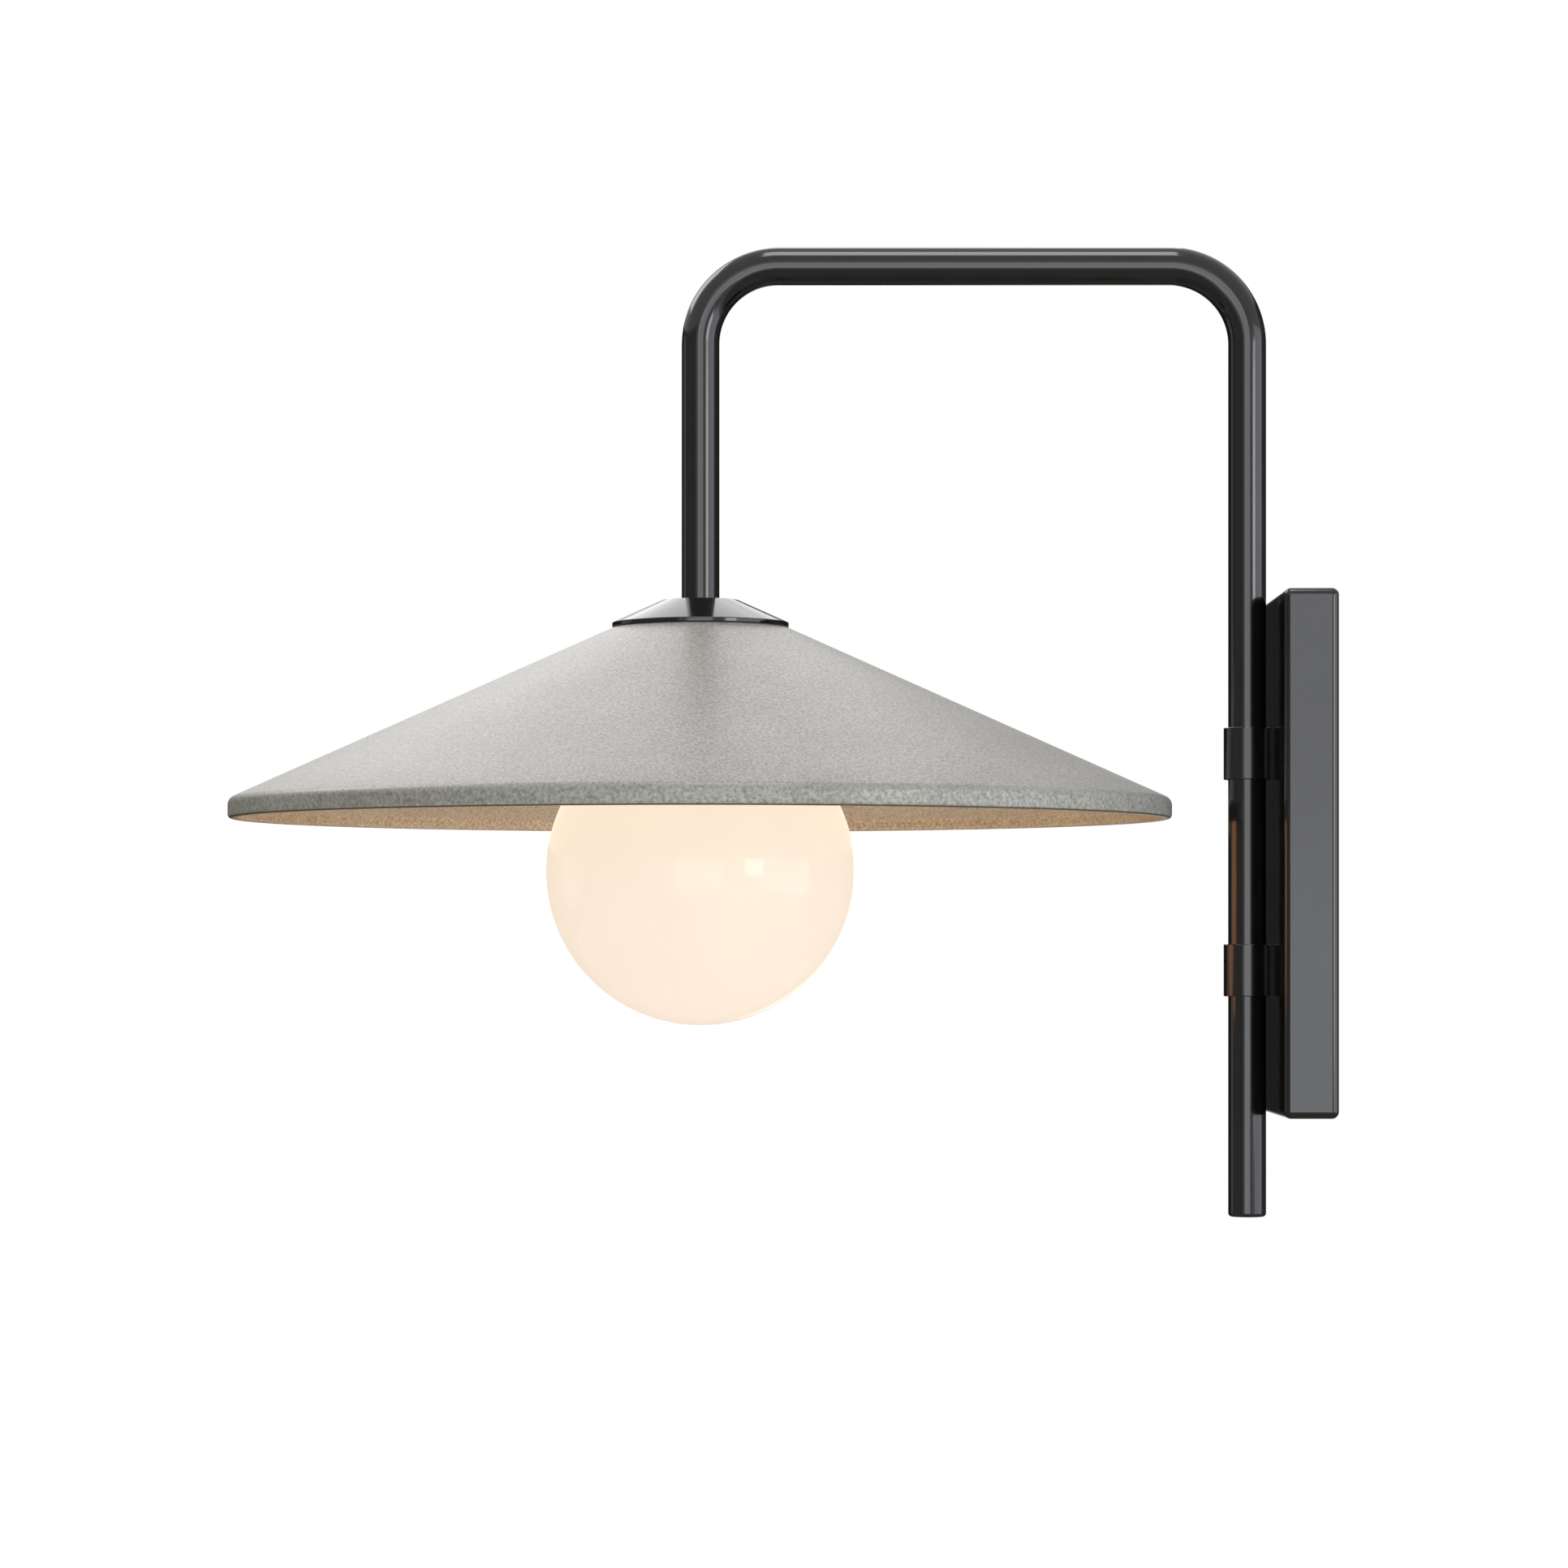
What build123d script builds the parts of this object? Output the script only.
from build123d import *
from math import acos, asin, cos, degrees, pi, radians, sin, sqrt, tan
import os

# An outdoor wall light: a bent tube arm swings in two collars on a wall box, and a wide ceramic shade
# with an opal globe hangs from its front end. Millimetres, +Z up. The origin is the middle of the box
# on the wall, the wall is the plane Y = 0, and the arm reaches out along -Y.

# Wall box
plate_width = 114.0
plate_height = 252.5
plate_depth = 26.0
plate_front_wall = 3.0
plate_edge_radius = 3.4
rim_land = 0.6
inner_corner_radius = 2.0

# Gasket in the rear rim of the box
gasket_thickness = 2.0
gasket_width = 2.0
gasket_ledge = 1.5

# Mounting strap on the wall
strap_thickness = 2.0
strap_width = 22.0
strap_bend_radius = 3.0
strap_clearance = 0.5
wing_height = 18.0
wing_corner_radius = 4.0
slot_length = 8.0
slot_width = 4.6
slot_end_metal = 2.05
tab_past_screw = 6.0

# Screws that lock the box to the strap, from above and below
lock_screw_radius = 2.0
lock_head_radius = 3.8
lock_screw_past_tab = 2.0
lock_head_sink = 0.1
lock_socket_radius = 1.25
lock_socket_depth = 1.3

# Bent tube arm
tube_diameter = 18.4
tube_wall = 1.5
bend_radius = 38.0
arm_top_z = 286.9
arm_bottom_z = -175.6
rim_to_leg = 37.3
end_plug_thickness = 2.5
end_plug_spigot = 10.0
end_plug_edge = 1.8
swing_limit = 40.0

# Collars, bushes and their fastening
upper_collar_z = 49.6
lower_collar_z = -55.7
collar_height = 25.4
collar_wall = 1.27
collar_standoff = 1.0
collar_chamfer = 0.4
foot_width = 18.0
bush_wall = 0.8
bush_recess = 0.3
stub_radius = 5.0
stub_past_nut = 1.0
nut_flats = 16.0
nut_thickness = 5.0
washer_radius = 10.0
washer_thickness = 1.2

# Stop screw that carries the arm and limits its swing
stop_thread_radius = 3.0
stop_dog_radius = 2.25
stop_past_wall = 0.5
stop_from_stub_end = 1.5
stop_socket_radius = 1.7
stop_socket_depth = 3.0
stop_play = 0.15

# Leads and terminals
lead_diameter = 4.5
lead_play = 0.6
lead_sleeve_play = 1.5
lead_bend_radius = 8.0
elbow_margin = 1.7
lead_past_elbow = 2.0
lead_joint_gap = 0.3
block_width = 26.0
block_depth = 13.0
block_height = 16.0
block_corner_radius = 1.5
block_below_collar = 37.6
block_lead_depth = 4.0
terminal_pitch = 14.0
terminal_rise = 8.0
terminal_screw_radius = 1.5
terminal_screw_length = 3.5
terminal_screw_sink = 1.0
terminal_wire_radius = 1.8
terminal_wire_depth = 12.0
block_screw_radius = 1.5
block_head_radius = 2.8
block_head_thickness = 2.0
block_head_sink = 1.0
earth_below_block = 37.0
earth_screw_radius = 2.0
earth_head_radius = 4.0
earth_head_thickness = 2.6
earth_slot_width = 1.2
earth_slot_depth = 1.2

# Cap on the shade and the stem that clamps the stack
cap_top_z = 124.3
cap_radius = 43.0
cap_flat_radius = 18.5
cap_flat_thickness = 3.0
cap_edge_height = 2.4
cap_edge_round = 0.5
cap_gap = 0.25
cap_seal_thickness = 1.0
seal_edge_margin = 1.0
stem_radius = 5.0
stem_wall = 1.5
stem_in_ferrule = 12.0
ferrule_length = 16.0
stem_nut_flats = 17.0
stem_nut_thickness = 5.0

# Ceramic shade
shade_radius = 228.7
shade_pitch = 24.27
shade_wall = 6.0
shade_lip_height = 9.3
shade_shoulder_round = 4.5
shade_rim_round = 1.9
shade_inner_round = 2.0
shade_hole_play = 1.2
shade_washer_thickness = 2.0
shade_washer_margin = 1.5

# Holder of the globe
holder_wall = 2.0
holder_hub_height = 32.3
holder_bend_radius = 4.0
hub_play = 2.5
skirt_depth = 16.0
lip_play = 1.3

# Opal glass globe
globe_radius = 75.0
globe_wall = 3.0
globe_neck_radius = 41.0
globe_neck_length = 21.6
globe_neck_round = 4.0
globe_lip_overhang = 2.0
globe_lip_height = 3.0
globe_seal_thickness = 3.0

# Thumbscrews under the lip of the globe
thumb_count = 3
thumb_start_angle = 30.0
thumb_screw_radius = 2.0
thumb_tip_gap = 0.15
thumb_lip_gap = 0.2
thumb_head_radius = 4.5
thumb_head_length = 5.0
thumb_head_chamfer = 0.6
thumb_head_standoff = 1.5

# Lampholder and lamp
lampholder_radius = 18.0
lampholder_length = 41.0
lampholder_chamfer = 2.0
lampholder_gap = 0.3
entry_depth = 9.0
contact_web = 2.0
stem_above_floor = 2.0
lead_above_floor = 0.2
shell_wall = 0.55
shell_recess = 2.0
shell_length = 24.0
lamp_base_radius = 13.2
lamp_base_play = 0.15
lamp_base_wall = 0.5
lamp_base_length = 28.0
lamp_neck_overlap = 4.0
contact_head_radius = 5.0
contact_head_thickness = 1.2
contact_pin_radius = 2.0
contact_gap = 0.3
lamp_radius = 30.0
lamp_cone_angle = 40.0
lamp_below_base = 48.0
lamp_glass_wall = 1.0

# Fits
running_fit = 0.08
seat_fit = 0.05
thread_fit = 0.05
hole_play = 0.2

# Places that follow from the sizes above: arm and collars
tube_radius = tube_diameter / 2
tube_bore = tube_radius - tube_wall
bush_bore = tube_radius + running_fit
bush_radius = bush_bore + bush_wall
collar_bore = bush_radius + seat_fit
collar_radius = collar_bore + collar_wall
pivot_y = -(plate_depth + collar_standoff + collar_radius)
shade_y = pivot_y - (shade_radius + rim_to_leg)
tube_bottom_z = arm_bottom_z + end_plug_thickness

# Wall box and strap
gasket_inset = plate_edge_radius + rim_land
side_wall = gasket_inset + gasket_ledge
cavity_depth = plate_depth - plate_front_wall
strap_inset = gasket_inset + gasket_width + strap_clearance
strap_half_height = plate_height / 2 - strap_inset
strap_half_width = plate_width / 2 - strap_inset
slot_spacing = 2 * (strap_half_width - slot_end_metal - slot_length / 2)
lock_screw_y = -plate_depth / 2
tab_depth = tab_past_screw - lock_screw_y
washer_depth = cavity_depth - washer_thickness
nut_depth = washer_depth - nut_thickness
stub_end_depth = nut_depth - stub_past_nut

# Leads and terminals
lead_radius = lead_diameter / 2
elbow_radius = tube_bore - elbow_margin
lead_joint_z = upper_collar_z + elbow_radius + lead_past_elbow
block_z = upper_collar_z - block_below_collar
block_y = -(strap_thickness + block_depth / 2)
block_front = strap_thickness + block_depth
block_top_z = block_z + block_height / 2
block_bottom_z = block_z - block_height / 2
lead_start_z = block_top_z - block_lead_depth
earth_z = block_z - earth_below_block

# Cap and shade
slope = tan(radians(shade_pitch))
cap_edge_top_z = cap_top_z - slope * (cap_radius - cap_flat_radius)
cap_edge_bottom_z = cap_edge_top_z - cap_edge_height
cap_under_z = cap_top_z - cap_flat_thickness
cap_under_radius = cap_radius - (cap_under_z - cap_edge_bottom_z) / slope
shade_top_z = cap_under_z - cap_seal_thickness
shade_apex_z = cap_edge_bottom_z + slope * cap_radius - cap_gap
shade_flat_radius = (shade_apex_z - shade_top_z) / slope
shade_lip_z = shade_apex_z - slope * shade_radius
shade_rim_z = shade_lip_z - shade_lip_height
shade_ceiling_z = shade_top_z - shade_wall
shade_inner_apex_z = shade_apex_z - shade_wall / cos(radians(shade_pitch))
shade_ceiling_radius = (shade_inner_apex_z - shade_ceiling_z) / slope
shade_inner_radius = shade_radius - shade_wall
shade_inner_corner_z = shade_inner_apex_z - slope * shade_inner_radius
shade_hole_radius = stem_radius + shade_hole_play
stem_hole_radius = stem_radius + hole_play
stem_thread_radius = stem_radius + thread_fit

# Holder and globe
holder_top_z = shade_ceiling_z - shade_washer_thickness
holder_under_z = holder_top_z - holder_wall
shoulder_under_z = holder_top_z - holder_hub_height
stem_nut_bottom_z = holder_under_z - stem_nut_thickness
globe_top_z = shoulder_under_z - globe_seal_thickness
globe_lip_radius = globe_neck_radius + globe_lip_overhang
globe_neck_bore = globe_neck_radius - globe_wall
neck_rise = sqrt(globe_radius**2 - globe_neck_radius**2)
globe_centre_z = globe_top_z - globe_neck_length - neck_rise
skirt_bore = globe_lip_radius + lip_play
globe_seal_radius = skirt_bore - (holder_bend_radius - holder_wall / 2)
skirt_bottom_z = shoulder_under_z - skirt_depth
thumb_z = globe_top_z - globe_lip_height - thumb_lip_gap - thumb_screw_radius
thumb_tip_radius = globe_neck_radius + thumb_tip_gap
thumb_head_start = skirt_bore + holder_wall + thumb_head_standoff

# Lampholder and lamp
lampholder_top_z = stem_nut_bottom_z - lampholder_gap
lampholder_bottom_z = lampholder_top_z - lampholder_length
entry_floor_z = lampholder_top_z - entry_depth
socket_ceiling_z = entry_floor_z - contact_web
stem_bottom_z = entry_floor_z + stem_above_floor
lead_end_z = entry_floor_z + lead_above_floor
shell_bore = lamp_base_radius + lamp_base_play
shell_radius = shell_bore + shell_wall
socket_bore = shell_radius + seat_fit
shell_bottom_z = lampholder_bottom_z + shell_recess
hub_bore = lampholder_radius + hub_play
lamp_base_top_z = socket_ceiling_z - contact_head_thickness - contact_gap
lamp_base_bottom_z = lamp_base_top_z - lamp_base_length
lamp_neck_radius = lamp_base_radius - lamp_base_wall - seat_fit
lamp_top_z = lamp_base_bottom_z + lamp_neck_overlap
lamp_centre_z = lamp_base_bottom_z - lamp_below_base

pivot = (0, pivot_y)
stem = (0, shade_y)
stem_axis = Axis((0, shade_y, 0), (0, 0, 1))
stem_plane = Plane(origin=(0, shade_y, 0), x_dir=(1, 0, 0), z_dir=(0, -1, 0))
collar_places = ((0, upper_collar_z), (0, lower_collar_z))


def save(name, piece):
    """Labels a finished piece and writes it to its own file."""
    piece.part.label = name
    export_step(piece.part, f"parts/{name}.step")


def corner(sketch, radius, height):
    """The corner of a turned profile that lies at this radius and height."""
    return sketch.vertices().sort_by_distance((radius, height))[0]


def upright_ring(centre, outer_radius, inner_radius, bottom_z, top_z):
    """A plain ring standing on the pivot or on the stem of the shade."""
    with BuildPart() as piece:
        with BuildSketch(Plane.XY.offset(bottom_z)):
            with Locations(centre):
                Circle(outer_radius)
                Circle(inner_radius, mode=Mode.SUBTRACT)
        extrude(amount=top_z - bottom_z)
    return piece


def drill_from_box(height_z, radius, from_depth):
    """Cuts a round hole from this depth off the wall out to the pivot, at one height."""
    with BuildSketch(Plane.XZ.offset(from_depth)) as mouth:
        with Locations((0, height_z)):
            Circle(radius)
    extrude(mouth.sketch, amount=-pivot_y - from_depth, mode=Mode.SUBTRACT)


def wall_slot(height_z, height, half_angle):
    """Cuts a slot part of the way round the rear leg of the tube, on the side that faces the box."""
    with BuildSketch(Plane.XY.offset(height_z - height / 2)) as sector:
        with BuildLine():
            arc = CenterArc(pivot, collar_radius, 90 - half_angle, 2 * half_angle)
            Polyline(arc @ 1, pivot, arc @ 0)
        make_face()
    extrude(sector.sketch, amount=height, mode=Mode.SUBTRACT)


os.makedirs("parts", exist_ok=True)

# Wall box: a shallow cast shell, open at the wall, with all its outer edges rounded
with BuildPart() as wall_plate:
    with BuildSketch(Plane.XZ):
        Rectangle(plate_width, plate_height)
    extrude(amount=plate_depth)
    fillet(wall_plate.edges(), plate_edge_radius)
    with BuildSketch(Plane.XZ):
        RectangleRounded(plate_width - 2 * side_wall, plate_height - 2 * side_wall, inner_corner_radius)
    extrude(amount=cavity_depth, mode=Mode.SUBTRACT)
    with BuildSketch(Plane.XZ):
        RectangleRounded(plate_width - 2 * gasket_inset, plate_height - 2 * gasket_inset, inner_corner_radius)
    extrude(amount=gasket_thickness, mode=Mode.SUBTRACT)
    with BuildSketch(Plane.XZ):
        with Locations(*collar_places):
            Circle(stub_radius + hole_play)
    extrude(amount=plate_depth, mode=Mode.SUBTRACT)
    for side in (1, -1):
        with Locations(Plane((0, lock_screw_y, side * plate_height / 2), z_dir=(0, 0, side))):
            CounterSinkHole(
                lock_screw_radius + hole_play,
                lock_head_radius + lock_head_sink,
                depth=side_wall + strap_inset,
                counter_sink_angle=90,
            )
save("wall_plate", wall_plate)

# Gasket: a rubber frame that lies in the ledge round the open back of the box
with BuildPart() as wall_gasket:
    gasket_outer_width = plate_width - 2 * (gasket_inset + seat_fit)
    gasket_outer_height = plate_height - 2 * (gasket_inset + seat_fit)
    with BuildSketch(Plane.XZ):
        RectangleRounded(gasket_outer_width, gasket_outer_height, inner_corner_radius)
        Rectangle(
            gasket_outer_width - 2 * gasket_width,
            gasket_outer_height - 2 * gasket_width,
            mode=Mode.SUBTRACT,
        )
    extrude(amount=gasket_thickness)
save("wall_gasket", wall_gasket)

# Mounting strap: a bent bar with a tab at each end and two slotted wings for the screws in the wall
with BuildPart() as mounting_strap:
    bar_y = -strap_thickness / 2
    tab_z = strap_half_height - strap_thickness / 2
    with BuildSketch(Plane.YZ):
        with BuildLine():
            FilletPolyline(
                (-tab_depth, tab_z),
                (bar_y, tab_z),
                (bar_y, -tab_z),
                (-tab_depth, -tab_z),
                radius=strap_bend_radius,
            )
        trace(line_width=strap_thickness)
    extrude(amount=strap_width / 2, both=True)
    with BuildSketch(Plane.XZ):
        RectangleRounded(2 * strap_half_width, wing_height, wing_corner_radius)
        with GridLocations(slot_spacing, 0, 2, 1):
            SlotOverall(slot_length, slot_width, mode=Mode.SUBTRACT)
    extrude(amount=strap_thickness)
    with BuildSketch(Plane.XZ):
        with Locations((0, block_z)):
            Circle(block_screw_radius + thread_fit)
        with Locations((0, earth_z)):
            Circle(earth_screw_radius + thread_fit)
    extrude(amount=strap_thickness, mode=Mode.SUBTRACT)
    with Locations(
        (0, lock_screw_y, strap_half_height),
        (0, lock_screw_y, strap_thickness - strap_half_height),
    ):
        Hole(lock_screw_radius + thread_fit, depth=strap_thickness)
save("mounting_strap", mounting_strap)

# Lock screws: countersunk, one down through the top of the box and one up through its bottom
with BuildPart() as plate_screws:
    screw_length = strap_inset + strap_thickness + lock_screw_past_tab
    for side in (1, -1):
        screw_top = Plane(
            (0, lock_screw_y, side * (plate_height / 2 - lock_head_sink)), z_dir=(0, 0, -side)
        )
        with BuildSketch(screw_top):
            Circle(lock_screw_radius)
        extrude(amount=screw_length)
        with BuildSketch(screw_top):
            Circle(lock_head_radius)
        extrude(amount=lock_head_radius - lock_screw_radius, taper=45)
        with BuildSketch(screw_top):
            RegularPolygon(lock_socket_radius, 6, major_radius=False)
        extrude(amount=lock_socket_depth, mode=Mode.SUBTRACT)
save("plate_screws", plate_screws)

# Earth screw: a slotted pan head on the front of the strap
with BuildPart() as earth_screw:
    with BuildSketch(Plane.XZ):
        with Locations((0, earth_z)):
            Circle(earth_screw_radius)
    extrude(amount=strap_thickness)
    with BuildSketch(Plane.XZ.offset(strap_thickness)):
        with Locations((0, earth_z)):
            Circle(earth_head_radius)
    extrude(amount=earth_head_thickness)
    with BuildSketch(Plane.XZ.offset(strap_thickness + earth_head_thickness)):
        with Locations((0, earth_z)):
            Rectangle(2 * earth_head_radius, earth_slot_width)
    extrude(amount=-earth_slot_depth, mode=Mode.SUBTRACT)
save("earth_screw", earth_screw)

# Terminal block: two wire entries below, four clamp screws in front, the lead's entry on top
with BuildPart() as terminal_block:
    with BuildSketch(Plane.XZ.offset(strap_thickness)):
        with Locations((0, block_z)):
            RectangleRounded(block_width, block_height, block_corner_radius)
    extrude(amount=block_depth)
    with BuildSketch(Plane.XY.offset(block_bottom_z)):
        with Locations((0, block_y)):
            with GridLocations(terminal_pitch, 0, 2, 1):
                Circle(terminal_wire_radius)
    extrude(amount=terminal_wire_depth, mode=Mode.SUBTRACT)
    with BuildSketch(Plane.XY.offset(block_top_z)):
        with Locations((0, block_y)):
            Circle(lead_radius + seat_fit)
    extrude(amount=-block_lead_depth, mode=Mode.SUBTRACT)
    with BuildSketch(Plane.XZ.offset(block_front)):
        with Locations((0, block_z)):
            with GridLocations(terminal_pitch, terminal_rise, 2, 2):
                Circle(terminal_screw_radius + thread_fit)
    extrude(amount=-(terminal_screw_sink + terminal_screw_length), mode=Mode.SUBTRACT)
    with BuildSketch(Plane.XZ.offset(block_front)):
        with Locations((0, block_z)):
            Circle(block_head_radius + hole_play)
    extrude(amount=-(block_head_sink + block_head_thickness), mode=Mode.SUBTRACT)
    with BuildSketch(Plane.XZ.offset(strap_thickness)):
        with Locations((0, block_z)):
            Circle(block_screw_radius + hole_play)
    extrude(amount=block_depth, mode=Mode.SUBTRACT)
save("terminal_block", terminal_block)

with BuildPart() as terminal_screws:
    with BuildSketch(Plane.XZ.offset(block_front - terminal_screw_sink)):
        with Locations((0, block_z)):
            with GridLocations(terminal_pitch, terminal_rise, 2, 2):
                Circle(terminal_screw_radius)
    extrude(amount=-terminal_screw_length)
save("terminal_screws", terminal_screws)

with BuildPart() as block_screw:
    with BuildSketch(Plane.XZ):
        with Locations((0, block_z)):
            Circle(block_screw_radius)
    extrude(amount=block_front - block_head_sink)
    with BuildSketch(Plane.XZ.offset(block_front - block_head_sink)):
        with Locations((0, block_z)):
            Circle(block_head_radius)
    extrude(amount=-block_head_thickness)
save("block_screw", block_screw)


def make_collar(height_z, passage_radius):
    """A ring round the tube, on a flared foot that bears on the box and a hollow stub that goes through it."""
    with BuildPart() as collar:
        with BuildSketch(Plane.XY.offset(height_z - collar_height / 2)):
            with Locations(pivot):
                Circle(collar_radius)
        extrude(amount=collar_height)
        chamfer(collar.edges().filter_by(GeomType.CIRCLE), collar_chamfer)
        with BuildSketch(Plane.XY.offset(height_z - collar_height / 2 + collar_chamfer)):
            with BuildLine():
                Polyline(
                    (-foot_width / 2, -plate_depth),
                    (foot_width / 2, -plate_depth),
                    (0, -plate_depth - foot_width / 2),
                    close=True,
                )
            make_face()
        extrude(amount=collar_height - 2 * collar_chamfer)
        with BuildSketch(Plane.XZ.offset(stub_end_depth)):
            with Locations((0, height_z)):
                Circle(stub_radius)
        extrude(amount=plate_depth - stub_end_depth)
        with BuildSketch(Plane.XY.offset(height_z - collar_height / 2)):
            with Locations(pivot):
                Circle(collar_bore)
        extrude(amount=collar_height, mode=Mode.SUBTRACT)
        drill_from_box(height_z, passage_radius, stub_end_depth)
    return collar


# Collars: the upper stub lets the lead through, the lower one is tapped for the stop screw
save("upper_collar", make_collar(upper_collar_z, lead_radius + lead_sleeve_play))
save("lower_collar", make_collar(lower_collar_z, stop_thread_radius))

with BuildPart() as collar_washers:
    with BuildSketch(Plane.XZ.offset(washer_depth)):
        with Locations(*collar_places):
            Circle(washer_radius)
            Circle(stub_radius + hole_play, mode=Mode.SUBTRACT)
    extrude(amount=washer_thickness)
save("collar_washers", collar_washers)

with BuildPart() as collar_nuts:
    with BuildSketch(Plane.XZ.offset(nut_depth)):
        with Locations(*collar_places):
            RegularPolygon(nut_flats / 2, 6, major_radius=False)
            Circle(stub_radius + thread_fit, mode=Mode.SUBTRACT)
    extrude(amount=nut_thickness)
save("collar_nuts", collar_nuts)


def make_bush(height_z, window_radius):
    """A thin sleeve that the tube turns in, with a window towards the box."""
    half_height = collar_height / 2 - bush_recess
    with BuildPart() as bush:
        with BuildSketch(Plane.XY.offset(height_z - half_height)):
            with Locations(pivot):
                Circle(bush_radius)
                Circle(bush_bore, mode=Mode.SUBTRACT)
        extrude(amount=2 * half_height)
        drill_from_box(height_z, window_radius, plate_depth)
    return bush


save("upper_bush", make_bush(upper_collar_z, lead_radius + lead_play))
save("lower_bush", make_bush(lower_collar_z, stop_dog_radius + hole_play))

# Stop screw: a grub screw in the lower stub, whose dog point reaches into the slot of the tube
with BuildPart() as stop_screw:
    stop_start = stub_end_depth + stop_from_stub_end
    stop_shoulder = -pivot_y - collar_bore
    stop_tip = -pivot_y - tube_bore + stop_past_wall
    with BuildSketch(Plane.XZ.offset(stop_start)):
        with Locations((0, lower_collar_z)):
            Circle(stop_thread_radius - thread_fit)
    extrude(amount=stop_shoulder - stop_start)
    with BuildSketch(Plane.XZ.offset(stop_shoulder)):
        with Locations((0, lower_collar_z)):
            Circle(stop_dog_radius)
    extrude(amount=stop_tip - stop_shoulder)
    with BuildSketch(Plane.XZ.offset(stop_start)):
        with Locations((0, lower_collar_z)):
            RegularPolygon(stop_socket_radius, 6, major_radius=False)
    extrude(amount=stop_socket_depth, mode=Mode.SUBTRACT)
save("stop_screw", stop_screw)


def make_lead(points, radii):
    """A round lead swept along straight runs joined by arcs of these radii."""
    with BuildPart() as lead:
        with BuildLine() as route:
            FilletPolyline(*points, radius=radii)
        with BuildSketch(Plane(route.line @ 0, z_dir=route.line % 0)):
            Circle(lead_radius)
        sweep()
    length = sum(edge.length for edge in route.edges())
    fill = lead.part.volume / (pi * lead_radius**2 * length)
    print("lead length", round(length, 1), "bend radii", radii, "share of its tube filled", round(fill, 4))
    return lead


# Lead in the box: from the terminals through the upper stub, then up on the pivot's own axis
save(
    "plate_lead",
    make_lead(
        (
            (0, block_y, lead_start_z),
            (0, block_y, upper_collar_z),
            (0, pivot_y, upper_collar_z),
            (0, pivot_y, lead_joint_z),
        ),
        [lead_bend_radius, elbow_radius],
    ),
)

# Arm: one tube, up from below the box, out over the shade and down to its cap
with BuildPart() as arm_tube:
    with BuildLine() as arm_line:
        FilletPolyline(
            (0, pivot_y, tube_bottom_z),
            (0, pivot_y, arm_top_z),
            (0, shade_y, arm_top_z),
            (0, shade_y, cap_top_z),
            radius=bend_radius,
        )
    with BuildSketch(Plane(arm_line.line @ 0, z_dir=arm_line.line % 0)):
        Circle(tube_radius)
        Circle(tube_bore, mode=Mode.SUBTRACT)
    sweep()
    lead_half_angle = degrees(asin((lead_radius + lead_play) / tube_bore))
    dog_half_angle = degrees(asin((stop_dog_radius + stop_play) / tube_bore))
    wall_slot(upper_collar_z, lead_diameter + 2 * lead_play, swing_limit + lead_half_angle)
    wall_slot(lower_collar_z, 2 * (stop_dog_radius + stop_play), swing_limit + dog_half_angle)
save("arm_tube", arm_tube)

# Plug that closes the lower end of the tube
with BuildPart() as tube_end_plug:
    with BuildSketch(Plane.XY.offset(arm_bottom_z)):
        with Locations(pivot):
            Circle(tube_radius)
    extrude(amount=end_plug_thickness)
    fillet(tube_end_plug.edges().group_by(Axis.Z)[0], end_plug_edge)
    with BuildSketch(Plane.XY.offset(tube_bottom_z)):
        with Locations(pivot):
            Circle(tube_bore - seat_fit)
    extrude(amount=end_plug_spigot)
save("tube_end_plug", tube_end_plug)

# Lead in the arm: on the middle line of the tube, through the stem and into the lampholder
save(
    "arm_lead",
    make_lead(
        (
            (0, pivot_y, lead_joint_z + lead_joint_gap),
            (0, pivot_y, arm_top_z),
            (0, shade_y, arm_top_z),
            (0, shade_y, lead_end_z),
        ),
        [bend_radius, bend_radius],
    ),
)

# Stem: a threaded tube screwed into the ferrule in the end of the arm, which clamps all that follows
save(
    "tube_ferrule",
    upright_ring(stem, tube_bore - seat_fit, stem_thread_radius, cap_top_z, cap_top_z + ferrule_length),
)
save(
    "stem_nipple",
    upright_ring(stem, stem_radius, stem_radius - stem_wall, stem_bottom_z, cap_top_z + stem_in_ferrule),
)

# Cap: a turned cone with a short upright edge, which lies over the top of the shade
with BuildPart() as shade_cap:
    with BuildSketch(stem_plane) as cap_profile:
        with BuildLine():
            Polyline(
                (stem_hole_radius, cap_top_z),
                (cap_flat_radius, cap_top_z),
                (cap_radius, cap_edge_top_z),
                (cap_radius, cap_edge_bottom_z),
                (cap_under_radius, cap_under_z),
                (stem_hole_radius, cap_under_z),
                close=True,
            )
        make_face()
        fillet(corner(cap_profile, cap_radius, cap_edge_top_z), cap_edge_round)
        fillet(corner(cap_profile, cap_radius, cap_edge_bottom_z), cap_edge_round)
    revolve(axis=stem_axis)
save("shade_cap", shade_cap)

seal_radius = min(cap_under_radius, shade_flat_radius) - seal_edge_margin
save("cap_seal", upright_ring(stem, seal_radius, shade_hole_radius, shade_top_z, cap_under_z))

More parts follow.
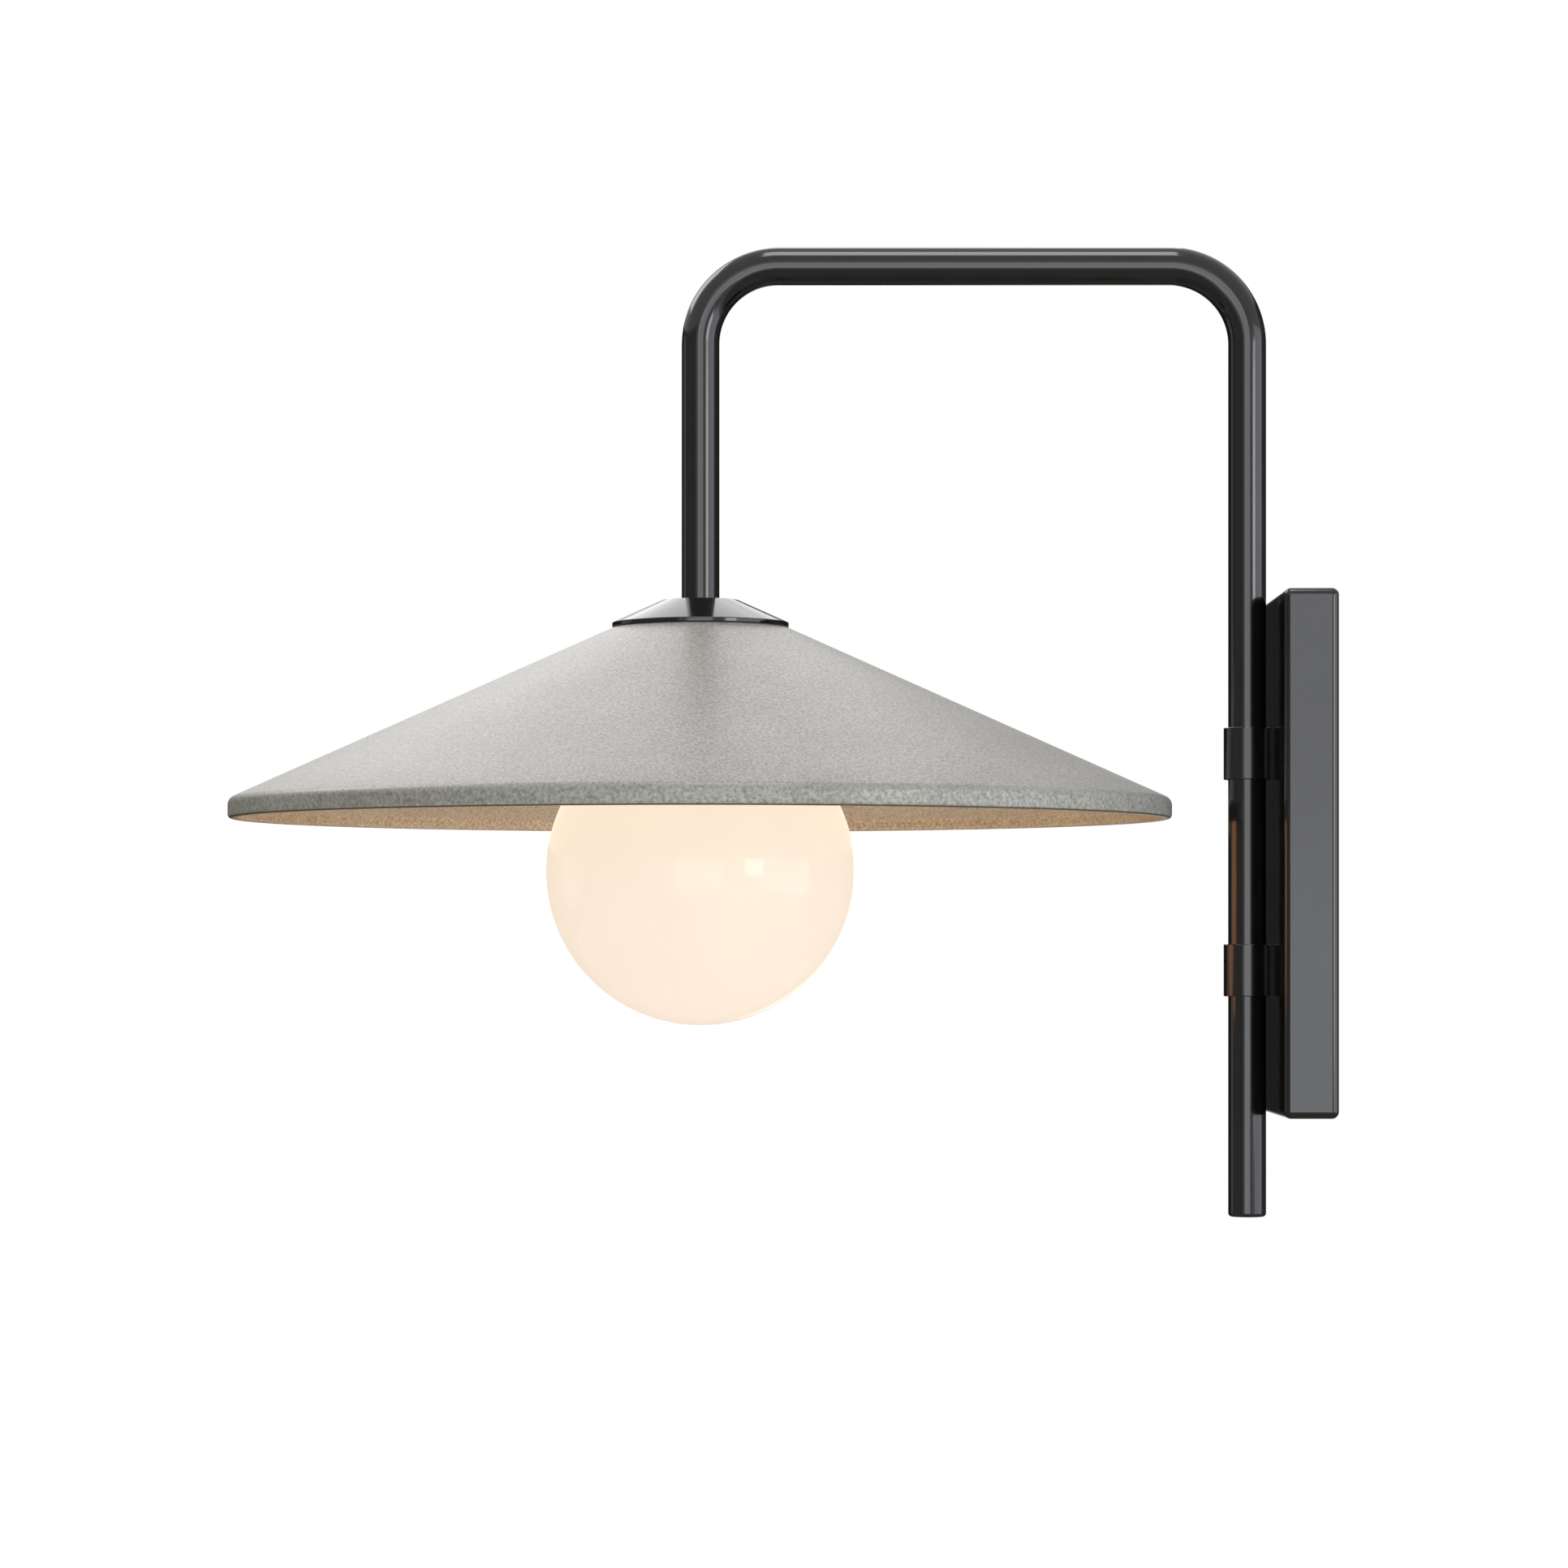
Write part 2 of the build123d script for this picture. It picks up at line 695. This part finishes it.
# Shade: a shallow ceramic cone of even wall with a soft shoulder and a short upright lip
with BuildPart() as shade:
    with BuildSketch(stem_plane) as shade_profile:
        with BuildLine():
            Polyline(
                (shade_hole_radius, shade_top_z),
                (shade_flat_radius, shade_top_z),
                (shade_radius, shade_lip_z),
                (shade_radius, shade_rim_z),
                (shade_inner_radius, shade_rim_z),
                (shade_inner_radius, shade_inner_corner_z),
                (shade_ceiling_radius, shade_ceiling_z),
                (shade_hole_radius, shade_ceiling_z),
                close=True,
            )
        make_face()
        fillet(corner(shade_profile, shade_radius, shade_lip_z), shade_shoulder_round)
        fillet(corner(shade_profile, shade_radius, shade_rim_z), shade_rim_round)
        fillet(corner(shade_profile, shade_inner_radius, shade_rim_z), shade_rim_round)
        fillet(corner(shade_profile, shade_inner_radius, shade_inner_corner_z), shade_inner_round)
    revolve(axis=stem_axis)
save("shade", shade)

shade_washer_radius = shade_ceiling_radius - shade_washer_margin
save("shade_washer", upright_ring(stem, shade_washer_radius, stem_hole_radius, holder_top_z, shade_ceiling_z))

# Planes that look out along the three thumbscrews, from the neck of the globe
thumb_planes = []
for index in range(thumb_count):
    angle = radians(thumb_start_angle + index * 360 / thumb_count)
    outward = (cos(angle), sin(angle), 0)
    tip = (thumb_tip_radius * outward[0], shade_y + thumb_tip_radius * outward[1], thumb_z)
    thumb_planes.append(Plane(tip, z_dir=outward))

# Holder: a spun cup with a deep hub round the lampholder and a skirt round the neck of the globe
with BuildPart() as globe_holder:
    hub_middle = hub_bore + holder_wall / 2
    skirt_middle = skirt_bore + holder_wall / 2
    with BuildSketch(stem_plane):
        with BuildLine():
            FilletPolyline(
                (stem_hole_radius, holder_top_z - holder_wall / 2),
                (hub_middle, holder_top_z - holder_wall / 2),
                (hub_middle, shoulder_under_z + holder_wall / 2),
                (skirt_middle, shoulder_under_z + holder_wall / 2),
                (skirt_middle, skirt_bottom_z),
                radius=holder_bend_radius,
            )
        trace(line_width=holder_wall)
    revolve(axis=stem_axis)
    with BuildSketch(*thumb_planes):
        Circle(thumb_screw_radius + thread_fit)
    extrude(amount=thumb_head_start - thumb_tip_radius, mode=Mode.SUBTRACT)
save("globe_holder", globe_holder)

with BuildPart() as globe_screws:
    with BuildSketch(*thumb_planes):
        Circle(thumb_screw_radius)
    extrude(amount=thumb_head_start - thumb_tip_radius)
    with BuildSketch(*[plane.offset(thumb_head_start - thumb_tip_radius) for plane in thumb_planes]):
        Circle(thumb_head_radius)
    extrude(amount=thumb_head_length)
    head_rims = globe_screws.edges().filter_by(GeomType.CIRCLE)
    chamfer(head_rims.filter_by(lambda rim: rim.radius == thumb_head_radius), thumb_head_chamfer)
save("globe_screws", globe_screws)

with BuildPart() as stem_nut:
    with BuildSketch(Plane.XY.offset(stem_nut_bottom_z)):
        with Locations(stem):
            RegularPolygon(stem_nut_flats / 2, 6, major_radius=False)
            Circle(stem_thread_radius, mode=Mode.SUBTRACT)
    extrude(amount=stem_nut_thickness)
save("stem_nut", stem_nut)

# Lampholder: a porcelain body on the end of the stem, with a screw shell and a contact inside
with BuildPart() as lampholder:
    with BuildSketch(stem_plane) as lampholder_profile:
        with BuildLine():
            Polyline(
                (stem_thread_radius, lampholder_top_z),
                (lampholder_radius, lampholder_top_z),
                (lampholder_radius, lampholder_bottom_z),
                (socket_bore, lampholder_bottom_z),
                (socket_bore, socket_ceiling_z),
                (contact_pin_radius + seat_fit, socket_ceiling_z),
                (contact_pin_radius + seat_fit, entry_floor_z),
                (stem_thread_radius, entry_floor_z),
                close=True,
            )
        make_face()
        chamfer(corner(lampholder_profile, lampholder_radius, lampholder_top_z), lampholder_chamfer)
    revolve(axis=stem_axis)
save("lampholder", lampholder)
save(
    "lampholder_shell",
    upright_ring(stem, shell_radius, shell_bore, shell_bottom_z, shell_bottom_z + shell_length),
)

with BuildPart() as centre_contact:
    with BuildSketch(Plane.XY.offset(socket_ceiling_z)):
        with Locations(stem):
            Circle(contact_head_radius)
    extrude(amount=-contact_head_thickness)
    with BuildSketch(Plane.XY.offset(socket_ceiling_z)):
        with Locations(stem):
            Circle(contact_pin_radius)
    extrude(amount=contact_web)
save("centre_contact", centre_contact)

# Lamp: a screw base, and a bulb that is a ball drawn out into a cone and a neck
with BuildPart() as lamp_base:
    with BuildSketch(Plane.XY.offset(lamp_base_bottom_z)):
        with Locations(stem):
            Circle(lamp_base_radius)
    extrude(amount=lamp_base_length)
    with BuildSketch(Plane.XY.offset(lamp_base_bottom_z)):
        with Locations(stem):
            Circle(lamp_base_radius - lamp_base_wall)
    extrude(amount=lamp_base_length - lamp_base_wall, mode=Mode.SUBTRACT)
save("lamp_base", lamp_base)


def bulb_outline(inset):
    """Half of the bulb's outline, drawn in by the given amount."""
    ball = lamp_radius - inset
    neck = lamp_neck_radius - inset
    lean = radians(lamp_cone_angle)
    neck_z = lamp_centre_z + ball * sin(lean) + (ball * cos(lean) - neck) / tan(lean)
    with BuildSketch(stem_plane) as outline:
        with BuildLine():
            arc = CenterArc((0, lamp_centre_z), ball, -90, 90 + lamp_cone_angle)
            Polyline(arc @ 1, (neck, neck_z), (neck, lamp_top_z), (0, lamp_top_z), arc @ 0)
        make_face()
    return outline.sketch


with BuildPart() as lamp_envelope:
    revolve(bulb_outline(0), axis=stem_axis)
    revolve(bulb_outline(lamp_glass_wall), axis=stem_axis, mode=Mode.SUBTRACT)
save("lamp_envelope", lamp_envelope)

# Globe: an opal ball with a straight neck and a lip that hangs on the thumbscrews
save(
    "globe_seal",
    upright_ring(stem, globe_seal_radius, globe_neck_bore, globe_top_z, shoulder_under_z),
)

with BuildPart() as globe:
    inner_ball = globe_radius - globe_wall
    lip_under_z = globe_top_z - globe_lip_height
    with BuildSketch(stem_plane) as globe_profile:
        with BuildLine():
            outside = CenterArc(
                (0, globe_centre_z), globe_radius, -90, 90 + degrees(acos(globe_neck_radius / globe_radius))
            )
            inside = CenterArc(
                (0, globe_centre_z), inner_ball, -90, 90 + degrees(acos(globe_neck_bore / inner_ball))
            )
            Polyline(
                outside @ 1,
                (globe_neck_radius, lip_under_z),
                (globe_lip_radius, lip_under_z),
                (globe_lip_radius, globe_top_z),
                (globe_neck_bore, globe_top_z),
                inside @ 1,
            )
            Line(outside @ 0, inside @ 0)
        make_face()
        fillet(corner(globe_profile, globe_neck_radius, globe_centre_z + neck_rise), globe_neck_round)
    revolve(axis=stem_axis)
save("globe", globe)

print("pivot", round(pivot_y, 2), "stem", round(shade_y, 2), "slots apart", round(slot_spacing, 2))
print("shade rim", round(shade_rim_z, 2), "globe middle", round(globe_centre_z, 2))
print("globe seat", round(globe_top_z, 2), "lamp bottom", round(lamp_centre_z - lamp_radius, 2))
